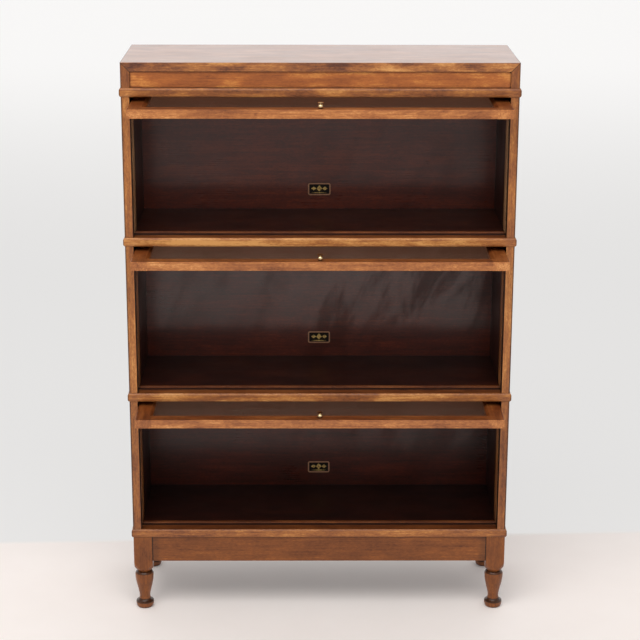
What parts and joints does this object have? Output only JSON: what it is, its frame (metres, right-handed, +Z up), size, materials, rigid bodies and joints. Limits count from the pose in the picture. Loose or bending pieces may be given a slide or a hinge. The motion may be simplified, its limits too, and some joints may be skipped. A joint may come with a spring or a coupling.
{
  "type": "barrister bookcase",
  "caption": "Barrister bookcase: stacked sections with lift-and-slide glass doors, a flat box cap, moulded rails and a base on turned legs.",
  "frame": {"origin": "on the floor, under the middle of the whole outline with the doors level and pushed back", "axes": "+Z up, the front with the doors faces -Y, +X to the right seen from the front"},
  "size_m": [0.871, 0.376, 1.287],
  "materials": {
    "case_wood": "orange-brown stained hardwood, satin varnish, worn on the edges",
    "door_wood": "orange-brown stained hardwood, satin varnish",
    "base_wood": "darker brown stained hardwood, worn satin varnish",
    "inner_wood": "very dark brown stain, semi-gloss varnish",
    "lining_wood": "lighter brown wood strip",
    "glass": "clear old window glass",
    "brass": "small polished brass pull",
    "steel": "dull steel",
    "plate": "black blank plate with a tan border"
  },
  "bodies": {
    "case": {"cap_top_board": "case_wood", "cap_side_left": "case_wood", "cap_side_right": "case_wood", "cap_front_panel": "case_wood", "cap_back_board": "inner_wood", "lower_side_left": "case_wood", "lower_side_right": "case_wood", "lower_floor_board": "inner_wood", "lower_back_panel": "inner_wood", "lower_front_rail": "case_wood", "lower_side_rails": "case_wood", "middle_side_left": "case_wood", "middle_side_right": "case_wood", "middle_floor_board": "inner_wood", "middle_back_panel": "inner_wood", "middle_front_rail": "case_wood", "middle_side_rails": "case_wood", "upper_side_left": "case_wood", "upper_side_right": "case_wood", "upper_floor_board": "inner_wood", "upper_back_panel": "inner_wood", "upper_front_rail": "case_wood", "upper_side_rails": "case_wood", "base_front_rail": "case_wood", "base_side_rails": "case_wood", "front_apron": "base_wood", "back_apron": "base_wood", "side_aprons": "base_wood", "front_legs": "base_wood", "rear_legs": "base_wood", "back_rails": "inner_wood", "stop_beads": "inner_wood", "side_linings": "lining_wood", "blank_plates": "plate", "back_screws": "steel"},
    "lower_carriage": {"lower_door_rollers": "steel"},
    "lower_door": {"lower_door_stiles": "door_wood", "lower_door_bottom_rail": "door_wood", "lower_door_top_rail": "door_wood", "lower_door_glass": "glass", "lower_door_glass_beads": "door_wood", "lower_door_knob": "brass", "lower_door_pivot_pins": "steel"},
    "middle_carriage": {"middle_door_rollers": "steel"},
    "middle_door": {"middle_door_stiles": "door_wood", "middle_door_bottom_rail": "door_wood", "middle_door_top_rail": "door_wood", "middle_door_glass": "glass", "middle_door_glass_beads": "door_wood", "middle_door_knob": "brass", "middle_door_pivot_pins": "steel"},
    "upper_carriage": {"upper_door_rollers": "steel"},
    "upper_door": {"upper_door_stiles": "door_wood", "upper_door_bottom_rail": "door_wood", "upper_door_top_rail": "door_wood", "upper_door_glass": "glass", "upper_door_glass_beads": "door_wood", "upper_door_knob": "brass", "upper_door_pivot_pins": "steel"}
  },
  "joints": [
    {"name": "lower_door_slide", "type": "slide", "parent": "case", "child": "lower_carriage", "axis": [0, -1, 0], "range_m": [-0.0558, 0.1759]},
    {"name": "lower_door_tilt", "type": "hinge", "parent": "lower_carriage", "child": "lower_door", "pos_m": [0, 0.0992, 0.4957], "axis": [1, 0, 0], "range_deg": [0, 90]},
    {"name": "middle_door_slide", "type": "slide", "parent": "case", "child": "middle_carriage", "axis": [0, -1, 0], "range_m": [-0.0258, 0.2059]},
    {"name": "middle_door_tilt", "type": "hinge", "parent": "middle_carriage", "child": "middle_door", "pos_m": [0, 0.1292, 0.8587], "axis": [1, 0, 0], "range_deg": [0, 90]},
    {"name": "upper_door_slide", "type": "slide", "parent": "case", "child": "upper_carriage", "axis": [0, -1, 0], "range_m": [-0.0558, 0.1759]},
    {"name": "upper_door_tilt", "type": "hinge", "parent": "upper_carriage", "child": "upper_door", "pos_m": [0, 0.0992, 1.1917], "axis": [1, 0, 0], "range_deg": [0, 90]}
  ]
}
